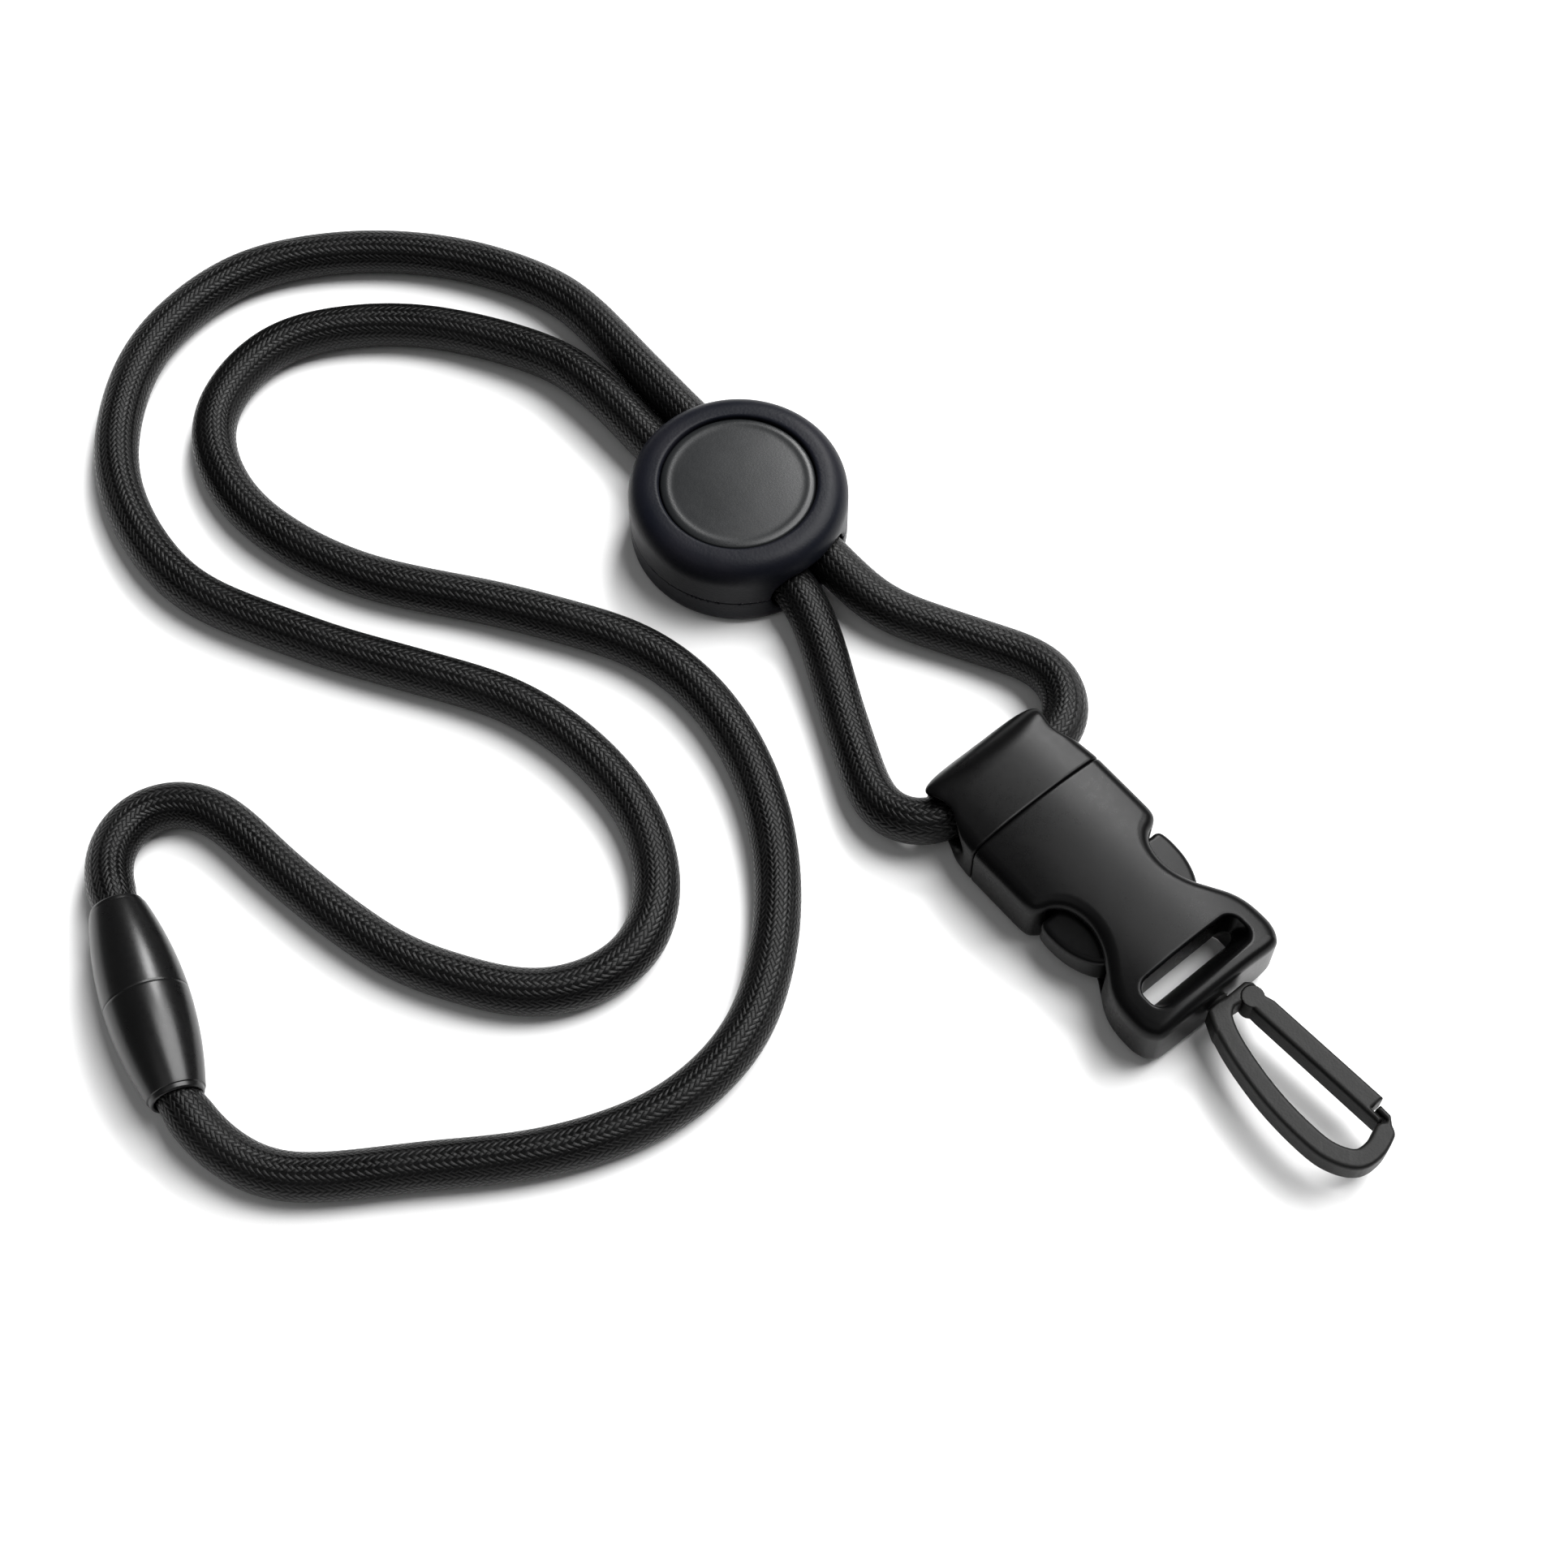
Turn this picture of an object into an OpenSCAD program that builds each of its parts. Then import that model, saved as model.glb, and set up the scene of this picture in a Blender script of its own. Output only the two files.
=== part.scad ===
// Breakaway neck lanyard with a cord slider, a side-release buckle and a swivel hook.
// It lies flat on a table. The origin is the centre of the slider's underside, +X runs from
// the slider through the buckle to the hook, and +Z is up.

/* [Cord] */
// Diameter of the round braided cord
cord_d = 6; // [5.8:0.1:6]

/* [Slider] */
// Diameter of the round slider
slider_d = 29; // [28:0.5:32]
// Height of the slider
slider_h = 12; // [11.5:0.5:13]
// Height of the cords' centres inside the slider
channel_z = 4.8; // [4.8:0.1:5]
// Diameter of the flat inlay in the slider's top
inlay_d = 20.4; // [16:0.2:20.6]

/* [Breakaway barrel] */
// Length of the closed barrel
barrel_len = 27.2; // [27:0.2:29]
// Diameter of the barrel at its middle
barrel_mid_d = 10.6; // [10.4:0.1:11.2]
// Diameter of the barrel at its two ends
barrel_end_d = 6.8; // [6.8:0.1:7.4]
// Radius of the plug's stem
stem_r = 2.2; // [1.8:0.1:2.4]

/* [Buckle] */
// Thickness of the closed buckle
buckle_h = 10.8; // [10.8:0.1:11.4]
// Width of the buckle's collar
collar_w = 21; // [21:0.2:22]
// Width across the flared end
flare_w = 22; // [21.8:0.2:23]
// Width at the waist
waist_w = 13; // [13:0.2:14]
// Width of the webbing slot along the pull direction
slot_w = 4.4; // [4.2:0.1:4.4]
// Length of the webbing slot
slot_l = 16; // [14:0.2:16]

/* [Hook] */
// Thickness of the hook and its gate
hook_h = 3.6; // [3:0.1:4]
// Width of the hook's curved arm
hook_arm_w = 2.6; // [2.4:0.1:2.8]
// Radius of the swivel stem
swivel_r = 1.45; // [1.2:0.05:1.6]

/* [Hidden] */
$fn = 64;

// Play that keeps two moving pieces apart, a running fit's play, and the overshoot of a cut
play = 0.3;
run_play = 0.06;
cut = 1;

cord_r = cord_d / 2;
// Half the distance between the two cords in the slider, and their lanes
cord_lane = 3.2;
lane_shift = 1.2;
left_y = lane_shift + cord_lane;
right_y = lane_shift - cord_lane;

// Barrel: its middle on the table plan, its direction and its half length
barrel_at = [8.9, -99.8];
barrel_angle = -18;
barrel_z = barrel_mid_d / 2;
barrel_half = barrel_len / 2;
rim_len = 0.8;
rim_inset = 0.15;
// How far the barrel's mouth squeezes the cord
cord_squeeze = 0.2;
cord_end = 6;
ferrule_len = 4;
ferrule_r = 3.5;
stem_len = 4.2;

// Buckle stations along X
bore_x = 52.5;
mid_z = buckle_h / 2;
seam_x = 59.3;
pocket_end = 82;
slot_x = 85.2;
end_x = 91.8;
buckle_y = -1.2;
pocket_w = 17.2;
pocket_h = 6.2;
arm_h = 5.4;
dome_r = 46.5;
edge_r = 2.8;
mouth_start = 5;
mouth_end = 11;
mouth_r = 5.3;
cap_half = 10;
boss_end = 62.6;
blade_end = 80.5;
blade_half = 1.6;
knuckle_at = [61.4, 6];
knuckle_r = 1.3;
head_r = 2.2;
head_len = 1.05;
gate_pivot = [94.4, 3.2];
gate_knuckle_r = 1.45;

// Stretches of the cord's route: from the barrel's socket half to the slider, from the slider
// to the buckle and back, from the slider on, and the last stretch into the plug half
route_left = [
    [-8.3, -94.2, 4.6], [-12.3, -91.2, 3.7], [-14.4, -85.8, 3], [-11.6, -80.3, 3], [-6.2, -78, 3],
    [4, -76.8, 3], [15, -74.8, 3], [26, -71, 3], [37.7, -62.1, 3], [40.9, -51, 3], [34.7, -41.7, 3],
    [21.3, -37.2, 3], [3.2, -40, 3], [-19.3, -53.5, 3], [-40, -62.7, 3], [-60.2, -59, 3], [-74.1, -44.4, 3],
    [-76, -25.3, 3], [-64.2, -6.8, 3], [-46.1, 4.2, 3.3]
];
route_to_buckle = [[23.6, 5.5, 3.8], [33, 10.8, 3.1], [42.6, 15.3, 3.7], [48.6, 14.1, 4.7], [52.4, 9.9, 5.3]];
route_from_buckle = [
    [52, -10.6, 5.3], [49.2, -13.5, 4.8], [44.2, -14.3, 3.9], [33.8, -9.9, 3.1], [23.5, -5, 3.8]
];
route_right = [
    [-38, -4, 3.8], [-53.8, -14.2, 3], [-63, -29.6, 3], [-58.5, -44.3, 3], [-44, -49.4, 3],
    [-26.1, -44.2, 3], [-9.4, -32.3, 3], [7.8, -22.2, 3], [24, -21.2, 3], [41.2, -28.1, 3], [55, -41.6, 3],
    [59.4, -56, 3]
];
route_tail = [[55.6, -71.4, 3], [46.3, -86.4, 3], [37.4, -99.2, 3], [30, -103.4, 3.6]];

// Stations of the two cords' straight stretch through the slider
straight = [-27, -17, 5, 15];
cord_sides = 10;
ring_gap = 1.9 * cord_d;

barrel_dir = [cos(barrel_angle), sin(barrel_angle)];

// Point on the barrel's axis at a signed distance from its middle
function on_barrel(s) = [barrel_at.x + s * barrel_dir.x, barrel_at.y + s * barrel_dir.y, barrel_z];

// The whole route, with one point past each end of the cord to steer it
route = concat(
    [on_barrel(cord_d - cord_end), on_barrel(-cord_end), on_barrel(-barrel_half)], route_left,
    [for (x = straight) [x, left_y, channel_z]], route_to_buckle,
    [for (side = [1, 0, -1]) [bore_x, buckle_y + side * mouth_start, mid_z]], route_from_buckle,
    [for (i = [len(straight) - 1 : -1 : 0]) [straight[i], right_y, channel_z]], route_right, route_tail,
    [on_barrel(barrel_half), on_barrel(cord_end), on_barrel(cord_end - cord_d)]
);

// Route points where one cord node ends and the next begins
cut_left = len(route_left) + len(straight) + 2;
cut_right = cut_left + len(route_to_buckle) + len(route_from_buckle) + 4;
cut_tail = cut_right + len(route_right) + len(straight);
cord_path = smooth(route, ring_gap);

// Point of a smooth curve between b and c, with a and d as its neighbours
function between(a, b, c, d, t) =
    0.5 * (2 * b + (c - a) * t + (2 * a - 5 * b + 4 * c - d) * t * t + (3 * b - a - 3 * c + d) * t * t * t);

// Number of steps between points i and i + 1, and before point i
function steps(p, i, gap) = max(1, round(norm(p[i + 1] - p[i]) / gap));
function steps_before(p, i, gap) = i < 2 ? 0 : steps_before(p, i - 1, gap) + steps(p, i - 1, gap);

// Smooth curve through a list of points; first and last only steer its ends
function smooth(p, gap) = concat(
    [for (i = [1 : len(p) - 3]) let (n = steps(p, i, gap))
        for (k = [0 : n - 1]) between(p[i - 1], p[i], p[i + 1], p[i + 2], k / n)],
    [p[len(p) - 2]]
);

function unit(v) = v / norm(v);

// Direction of a path at its point i
function heading(p, i) = unit(p[min(i + 1, len(p) - 1)] - p[max(i - 1, 0)]);

// Stretch of the cord between two points of the route
module cord_stretch(from, to) {
    first = steps_before(route, from, ring_gap);
    last = steps_before(route, to, ring_gap) - first;
    points = [
        for (i = [first : first + last])
            let (along = heading(cord_path, i))
            let (side = unit(cross(along, [0, 0, 1])), rise = cross(side, along))
            for (k = [0 : cord_sides - 1])
                let (a = 360 * k / cord_sides) cord_path[i] + cord_r * (cos(a) * side + sin(a) * rise)
    ];
    walls = [
        for (i = [0 : last - 1], k = [0 : cord_sides - 1])
            let (m = (k + 1) % cord_sides, low = i * cord_sides, high = low + cord_sides)
            each [[low + k, high + k, high + m], [low + k, high + m, low + m]]
    ];
    start_cap = [for (k = [0 : cord_sides - 1]) k];
    end_cap = [for (k = [cord_sides - 1 : -1 : 0]) last * cord_sides + k];
    color("#1c1c1e") polyhedron(points, concat(walls, [start_cap, end_cap]));
}

// Flat ribbon of width w along a plan path
module ribbon(path, w) {
    offsets = [for (i = [0 : len(path) - 1]) let (h = heading(path, i)) [-h.y, h.x] * w / 2];
    left = [for (i = [0 : len(path) - 1]) path[i] + offsets[i]];
    right = [for (i = [len(path) - 1 : -1 : 0]) path[i] - offsets[i]];
    polygon(concat(left, right));
}

// Cylinder along X or Y, with its start at the given point
module rod_x(at, r, length) translate(at) rotate([0, 90, 0]) cylinder(r = r, h = length);
module rod_y(at, r, length, r_far) translate(at) rotate([-90, 0, 0]) cylinder(r1 = r, r2 = r_far, h = length);

// ---- Cord ----

module neck_cord_left() cord_stretch(1, cut_left);

module front_cord_loop() cord_stretch(cut_left, cut_right);

module neck_cord_right() cord_stretch(cut_right, cut_tail);

module neck_cord_tail() cord_stretch(cut_tail, len(route) - 2);

// ---- Breakaway barrel ----

// Outer radius of the barrel at a distance from its middle
function barrel_r(s) = barrel_end_d / 2 + (barrel_mid_d - barrel_end_d) / 2 * (1 - pow(s / barrel_half, 2));

module on_barrel_axis()
    translate([barrel_at.x, barrel_at.y, barrel_z]) rotate([0, 90, barrel_angle]) children();

// Half of the spindle, from its middle to its open end
module barrel_half_shell() {
    steps = 10;
    body_len = barrel_half - rim_len;
    rim_r = barrel_end_d / 2 - rim_inset;
    cavity_start = cord_end - play;
    difference() {
        rotate_extrude()
            polygon(concat(
                [[0, 0]],
                [for (i = [0 : steps]) [barrel_r(i / steps * body_len), i / steps * body_len]],
                [[rim_r, body_len], [rim_r, barrel_half], [0, barrel_half]]
            ));
        translate([0, 0, cavity_start]) cylinder(r = cord_r - cord_squeeze, h = barrel_half);
        translate([0, 0, cavity_start]) cylinder(r = ferrule_r + run_play, h = ferrule_len + 2 * play);
    }
}

// Metal sleeve crimped on the cord's end
module ferrule() difference() {
    cylinder(r = ferrule_r, h = ferrule_len);
    translate([0, 0, -cut]) cylinder(r = cord_r, h = ferrule_len + 2 * cut);
}

module barrel_socket() color("#141415") on_barrel_axis() mirror([0, 0, 1])
    difference() {
        barrel_half_shell();
        translate([0, 0, -cut]) cylinder(r = stem_r + run_play, h = stem_len + play + cut);
    }

module barrel_plug() color("#141415") on_barrel_axis() union() {
    barrel_half_shell();
    translate([0, 0, -stem_len]) cylinder(r = stem_r, h = stem_len + cut);
}

module socket_end_ferrule() color("silver")
    on_barrel_axis() mirror([0, 0, 1]) translate([0, 0, cord_end]) ferrule();

module plug_end_ferrule() color("silver") on_barrel_axis() translate([0, 0, cord_end]) ferrule();

// ---- Slider ----

peg_at = [4, 10.6];
peg_r = 1.4;
peg_top = 8;
slider_bottom_edge = 1.6;
slider_top_edge = 3.2;
inlay_depth = 1.6;
groove_w = 0.15;

// Side view of one half of the slider: straight wall with one rounded edge of radius e
module rounded_disc(h, e) rotate_extrude() {
    square([slider_d / 2 - e, h]);
    square([slider_d / 2, h - e]);
    intersection() {
        translate([slider_d / 2 - e, h - e]) circle(r = e);
        square([slider_d, h]);
    }
}

// Flat-sided channel that both cords run through side by side
module cord_channel() translate([-slider_d, 0, channel_z]) {
    channel_r = cord_r + play;
    for (y = [left_y, right_y]) rod_x([0, y, 0], channel_r, 2 * slider_d);
    translate([0, right_y, -channel_r]) cube([2 * slider_d, left_y - right_y, 2 * channel_r]);
}

module at_pegs() for (x = [-1, 1], y = [-1, 1]) translate([x * peg_at.x, y * peg_at.y, 0]) children();

module slider_base() color("#15161c") union() {
    difference() {
        translate([0, 0, channel_z]) mirror([0, 0, 1]) rounded_disc(channel_z, slider_bottom_edge);
        cord_channel();
    }
    at_pegs() translate([0, 0, channel_z - cut]) cylinder(r = peg_r, h = peg_top - channel_z + cut);
}

module slider_cover() color("#15161c") difference() {
    translate([0, 0, channel_z]) rounded_disc(slider_h - channel_z, slider_top_edge);
    cord_channel();
    at_pegs() translate([0, 0, channel_z - cut])
        cylinder(r = peg_r + run_play, h = peg_top - channel_z + cut + play);
    translate([0, 0, slider_h - inlay_depth]) cylinder(d = inlay_d + 2 * groove_w, h = inlay_depth + cut);
}

module slider_inlay() color("#232428") translate([0, 0, slider_h - inlay_depth])
    cylinder(d = inlay_d, h = inlay_depth);

// ---- Buckle ----

// The buckle and the hook share one centre line
module on_buckle_line() translate([0, buckle_y, 0]) children();

// Domed section of the buckle, from x0 to x1
module domed_bar(x0, x1, w) translate([x0, 0, mid_z]) rotate([90, 0, 90]) linear_extrude(x1 - x0)
    intersection() {
        for (up = [-1, 1]) translate([0, up * (dome_r - buckle_h / 2)]) circle(r = dome_r, $fn = 128);
        union() {
            square([w - 2 * edge_r, buckle_h], center = true);
            square([w, dome_flat(w)], center = true);
            for (y = [-1, 1], z = [-1, 1])
                translate([y * (w / 2 - edge_r), z * dome_flat(w) / 2]) circle(r = edge_r);
        }
    }

// Height of the straight side wall of a domed bar of width w
function dome_flat(w) = 2 * (sqrt(pow(dome_r, 2) - pow(w / 2 - edge_r, 2)) - dome_r + buckle_h / 2 - edge_r);

// Trumpet-mouthed bore that the cord crosses the buckle through
module cord_bore() {
    bore_r = cord_r + play - 0.1;
    rod_y([bore_x, -collar_w, mid_z], bore_r, 2 * collar_w, bore_r);
    for (side = [0, 1]) mirror([0, side, 0])
        rod_y([bore_x, mouth_start, mid_z], bore_r, mouth_end - mouth_start, mouth_r);
}

// Seat of one latch arm's knuckle in the boss
module knuckle_seat() {
    seat_r = knuckle_r + run_play;
    translate([knuckle_at.x, knuckle_at.y, 0]) cylinder(r = seat_r, h = buckle_h);
    translate([knuckle_at.x, knuckle_at.y - seat_r, 0]) cube([cord_d, pocket_w, buckle_h]);
}

// Plan outline of the +Y side of the male half's cap
cap_side = [[47, 4], [47.4, 6], [48.2, 8], [49.4, 9.3], [51, 9.8], [56, cap_half], [seam_x, collar_w / 2]];

// The same outline on the -Y side, run backwards
function mirrored(side) = [for (i = [len(side) - 1 : -1 : 0]) [side[i].x, -side[i].y]];

module male_body() color("#161617") on_buckle_line() difference() {
    union() {
        intersection() {
            domed_bar(bore_x - buckle_h / 2, seam_x, collar_w);
            union() {
                rod_y([bore_x, -collar_w, mid_z], buckle_h / 2, 2 * collar_w, buckle_h / 2);
                translate([bore_x, -collar_w, 0]) cube([seam_x - bore_x, 2 * collar_w, buckle_h]);
            }
            linear_extrude(buckle_h) polygon(concat(cap_side, mirrored(cap_side)));
        }
        translate([seam_x - cut, play - pocket_w / 2, mid_z - arm_h / 2])
            cube([boss_end - seam_x + cut, pocket_w - 2 * play, arm_h]);
        translate([seam_x, -blade_half, mid_z - arm_h / 2]) cube([blade_end - seam_x, 2 * blade_half, arm_h]);
    }
    cord_bore();
    for (side = [0, 1]) mirror([0, side, 0]) knuckle_seat();
    // Groove along the top and the underside of the blade
    for (z = [mid_z - arm_h / 2 - cut, mid_z + arm_h / 2 - 0.8])
        translate([boss_end + 1, -0.6, z]) cube([blade_end - boss_end - 2, 1.2, 0.8 + cut]);
}

// Plan outline of the latch arm on the +Y side, past its knuckle
latch_outline = [
    [61.4, 5.2], [66, 4.9], [71, 4.5], [76, 4.05], [79.4, 4.5], [81, 5.4], [80.7, 6.8], [79.5, 8.2],
    [77.8, 9.3], [75.6, 9.95], [73, 10.15], [71.7, 9.85], [71.2, 9.2], [71.2, 7.5], [68, 6.7], [61.4, 6.8]
];

module latch_arm() translate([0, 0, mid_z - arm_h / 2]) difference() {
    union() {
        translate([knuckle_at.x, knuckle_at.y, 0]) cylinder(r = knuckle_r, h = arm_h);
        linear_extrude(arm_h) polygon(latch_outline);
    }
    // Sink mark in the head's inner face
    translate([77, 3.9, arm_h / 2]) sphere(r = 0.9, $fn = 24);
}

module latch_arm_left() color("#161617") on_buckle_line() latch_arm();

module latch_arm_right() color("#161617") on_buckle_line() mirror([0, 1, 0]) latch_arm();

// Rounded webbing slot through the buckle's end
module webbing_slot() translate([slot_x + slot_w / 2, 0, -cut]) {
    end_r = slot_w / 2;
    end_y = slot_l / 2 - end_r;
    depth = buckle_h + 2 * cut;
    for (side = [-1, 1]) translate([0, side * end_y, 0]) cylinder(r = end_r, h = depth);
    translate([-end_r, -end_y, 0]) cube([2 * end_r, 2 * end_y, depth]);
}

// Plan outline of the +Y side of the female half: collar, scooped waist and flared end
female_side = concat([[seam_x, collar_w / 2], [69, collar_w / 2]], smooth([
    [68.4, collar_w / 2], [69.7, 10.3], [70.3, 9.6], [70.9, 8.2], [72.2, 7.1], [74.2, waist_w / 2],
    [76.6, waist_w / 2], [79, 7.3], [81, 8.5], [83, 9.9], [85.4, flare_w / 2 - 0.15], [87.8, flare_w / 2],
    [90, 10.8], [91.4, 9.8], [end_x, 8.4], [end_x, 6]
], 1.5));

module female_body() color("#161617") on_buckle_line() difference() {
    intersection() {
        domed_bar(seam_x, end_x, flare_w);
        linear_extrude(buckle_h) polygon(concat(female_side, mirrored(female_side)));
    }
    // Pocket for the boss, the blade and the latch arms
    translate([seam_x - cut, -pocket_w / 2, mid_z - pocket_h / 2])
        cube([pocket_end - seam_x + cut, pocket_w, pocket_h]);
    webbing_slot();
    // Swivel bore and the counterbore that holds the stem's head
    rod_x([slot_x + slot_w, 0, mid_z], swivel_r + run_play, end_x - slot_x);
    rod_x([slot_x + slot_w / 2, 0, mid_z], head_r + play / 2, slot_w / 2 + head_len + run_play);
}

// ---- Hook ----

hook_start = 92.2;
hook_z = mid_z - hook_h / 2;
lip = [[113.9, 4.15], [113.9, 5], [115.6, 5], [117.6, 3.4], [115.7, 2.4], [115.7, 4.15]];
curved_arm = [
    [91, 0], [93, -1], [96, -2.4], [100, -3.4], [105, -4.1], [110, -4.2], [114, -3.7], [116.8, -2],
    [117.3, 0.4], [116.6, 2.8], [115.6, 4.4]
];

module hook_body() color("#2b2b2c") on_buckle_line() union() {
    difference() {
        translate([0, 0, hook_z]) linear_extrude(hook_h) union() {
            ribbon(smooth(curved_arm, 2), hook_arm_w);
            polygon(lip);
            polygon([[hook_start, -2], [94.8, -3.2], [95.2, 1.2], [94.4, 4.6], [93, 4.6], [hook_start, 3.8]]);
        }
        translate([gate_pivot.x, gate_pivot.y, 0]) cylinder(r = gate_knuckle_r + run_play, h = buckle_h);
    }
    rod_x([slot_x + slot_w + head_len / 2, 0, mid_z], swivel_r, hook_start - slot_x - slot_w);
    rod_x([slot_x + slot_w + 0.05, 0, mid_z], head_r, head_len - 0.05);
}

module hook_gate() color("#2b2b2c") on_buckle_line() translate([0, 0, hook_z]) {
    translate([gate_pivot.x, gate_pivot.y, 0]) cylinder(r = gate_knuckle_r, h = hook_h);
    linear_extrude(hook_h) polygon([
        [94.8, 2.1], [96.4, 2.1], [113.4, 3], [115.3, 3.1], [115.3, 3.9], [113.5, 3.9], [113.5, 5.9],
        [96.4, 4.9], [94.8, 4.4]
    ]);
}

neck_cord_left();
neck_cord_right();
neck_cord_tail();
front_cord_loop();
barrel_socket();
barrel_plug();
socket_end_ferrule();
plug_end_ferrule();
slider_base();
slider_cover();
slider_inlay();
male_body();
latch_arm_left();
latch_arm_right();
female_body();
hook_body();
hook_gate();
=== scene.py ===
"""Looks of a breakaway neck lanyard: braided cord, barrel, slider, side-release buckle and hook.

Every shape is worked out in millimetres in the row frame and stored in metres.
"""

import functools
import itertools
import math

import bpy
import numpy as np
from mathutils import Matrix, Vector


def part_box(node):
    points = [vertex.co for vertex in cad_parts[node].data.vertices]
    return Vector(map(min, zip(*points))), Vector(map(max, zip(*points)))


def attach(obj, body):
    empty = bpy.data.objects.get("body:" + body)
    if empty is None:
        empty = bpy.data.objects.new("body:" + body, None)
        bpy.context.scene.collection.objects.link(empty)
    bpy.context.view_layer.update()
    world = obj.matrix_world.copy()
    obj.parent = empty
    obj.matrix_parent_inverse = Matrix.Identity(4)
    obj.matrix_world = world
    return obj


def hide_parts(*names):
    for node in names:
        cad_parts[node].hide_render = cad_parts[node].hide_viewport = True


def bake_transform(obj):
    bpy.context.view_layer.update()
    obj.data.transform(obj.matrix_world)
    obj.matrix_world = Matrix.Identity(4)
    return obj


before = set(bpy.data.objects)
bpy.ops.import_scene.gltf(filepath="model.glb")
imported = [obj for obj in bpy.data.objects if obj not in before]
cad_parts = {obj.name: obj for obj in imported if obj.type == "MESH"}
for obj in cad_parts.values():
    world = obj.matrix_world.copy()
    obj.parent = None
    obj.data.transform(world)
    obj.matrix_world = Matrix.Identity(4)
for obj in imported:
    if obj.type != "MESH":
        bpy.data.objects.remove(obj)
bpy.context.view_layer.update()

MM = 0.001


def box_mm(node):
    """Lowest and highest corner of a CAD node, in millimetres."""
    low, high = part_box(node)
    return np.array(low) / MM, np.array(high) / MM


# ---- Camera ----

TARGET = Vector((33.3, -20.1, 0)) * MM
AZIMUTH, ELEVATION, DISTANCE = math.radians(50), math.radians(62), 349.6 * MM
LENS_MM, SENSOR_MM = 62.87, 36


def direction(azimuth, elevation):
    """Unit vector from the object towards a viewer or a lamp."""
    flat = math.cos(elevation)
    return Vector((math.sin(azimuth) * flat, -math.cos(azimuth) * flat, math.sin(elevation)))


def aim(obj, at, towards):
    """A camera or a lamp at one point looks at another."""
    obj.location = at
    obj.rotation_mode = "QUATERNION"
    obj.rotation_quaternion = (towards - at).to_track_quat("-Z", "Y")


def add(obj):
    """The object, now part of the scene."""
    bpy.context.scene.collection.objects.link(obj)
    return obj


camera = add(bpy.data.objects.new("camera", bpy.data.cameras.new("camera")))
camera.data.lens = LENS_MM
camera.data.sensor_width = SENSOR_MM
camera.data.clip_start = 0.01
aim(camera, TARGET + direction(AZIMUTH, ELEVATION) * DISTANCE, TARGET)
bpy.context.scene.camera = camera


# ---- Meshes ----


def new_mesh(name, points, faces, material, normals=None, sharp_angle=None):
    """A smooth-shaded mesh object from points in millimetres and lists of point numbers."""
    mesh = bpy.data.meshes.new(name)
    mesh.from_pydata((np.asarray(points) * MM).tolist(), [], faces)
    mesh.shade_smooth()
    if normals is not None:
        mesh.normals_split_custom_set_from_vertices(normals.tolist())
    if sharp_angle is not None:
        mesh.set_sharp_from_angle(angle=sharp_angle)
    mesh.materials.append(material)
    return add(bpy.data.objects.new(name, mesh))


def place(obj, body, slot, *nodes):
    """The piece rides on a body and stands for CAD nodes."""
    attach(obj, body)
    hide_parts(*nodes)


def skin(name, field, low, high, step, material):
    """Skin of the solid where field(x, y, z) is below zero, with one vertex in each cell it crosses."""
    axes = [np.arange(a - 2 * step, b + 3 * step, step) for a, b in zip(low, high)]
    x, y, z = np.ix_(*axes)
    inside = np.broadcast_to(field(x, y, z) < 0, [len(a) for a in axes])
    count = sum(
        inside[tuple(slice(d, n - 1 + d) for d, n in zip(corner, inside.shape))].astype(np.int8)
        for corner in itertools.product((0, 1), repeat=3)
    )
    mixed = (count > 0) & (count < 8)
    index = np.full(mixed.shape, -1)
    index[mixed] = np.arange(mixed.sum())
    centre = np.array([a[0] for a in axes]) + (np.argwhere(mixed) + 0.5) * step
    points, normals = settle(field, centre, step)
    # One face round each grid edge whose ends are on different sides of the surface
    faces = []
    for axis in range(3):
        u, v = np.eye(3, dtype=int)[(axis + 1) % 3], np.eye(3, dtype=int)[(axis + 2) % 3]
        near = np.take(inside, range(inside.shape[axis] - 1), axis)
        far = np.take(inside, range(1, inside.shape[axis]), axis)
        edge = np.argwhere(near != far)
        around = np.stack([index[tuple((edge - move).T)] for move in (0 * u, u, u + v, v)], 1)
        leaving = near[tuple(edge.T)]
        faces.append(np.where(leaving[:, None], around, around[:, ::-1]))
    return new_mesh(name, points, np.concatenate(faces).tolist(), material, normals)


def solid(part, field, node, body, slot, step, material):
    """A skinned piece that stands for one CAD node and is made within its box."""
    low, high = box_mm(node)
    place(skin(part, field, low, high, step, material), body, slot, node)


def settle(field, centre, step):
    """Cell centres moved on to the surface, but kept in their cells, and the surface's normals there."""
    reach = 0.55 * step
    tiny, least_square, rounds = 0.02, 0.05, 6
    points = centre.copy()
    for _ in range(rounds):
        value = field(*points.T)
        slope = np.stack(
            [
                (field(*(points + tiny * e).T) - field(*(points - tiny * e).T)) / (2 * tiny)
                for e in np.eye(3)
            ],
            1,
        )
        square = np.maximum((slope**2).sum(1), least_square)
        points = np.clip(points - (value / square)[:, None] * slope, centre - reach, centre + reach)
    return points, slope / np.maximum(np.linalg.norm(slope, axis=1), 1e-9)[:, None]


def join(a, b, soft=0.0):
    """Union of two fields, with a fillet about as wide as soft."""
    if not soft:
        return np.minimum(a, b)
    h = np.maximum(soft - np.abs(a - b), 0) / soft
    return np.minimum(a, b) - h * h * soft / 4


def keep(a, b, soft=0.0):
    """Intersection of two fields, with its edge rounded over about soft."""
    return -join(-a, -b, soft)


def cut(a, b, soft=0.0):
    """a without b."""
    return keep(a, -b, soft)


def rounded(gaps, corner):
    """Box with round edges, from how far a point is outside each pair of its faces."""
    q = [gap + corner for gap in gaps]
    outside = np.sqrt(sum(np.maximum(p, 0) ** 2 for p in q))
    return outside + np.minimum(functools.reduce(np.maximum, q), 0) - corner


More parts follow.
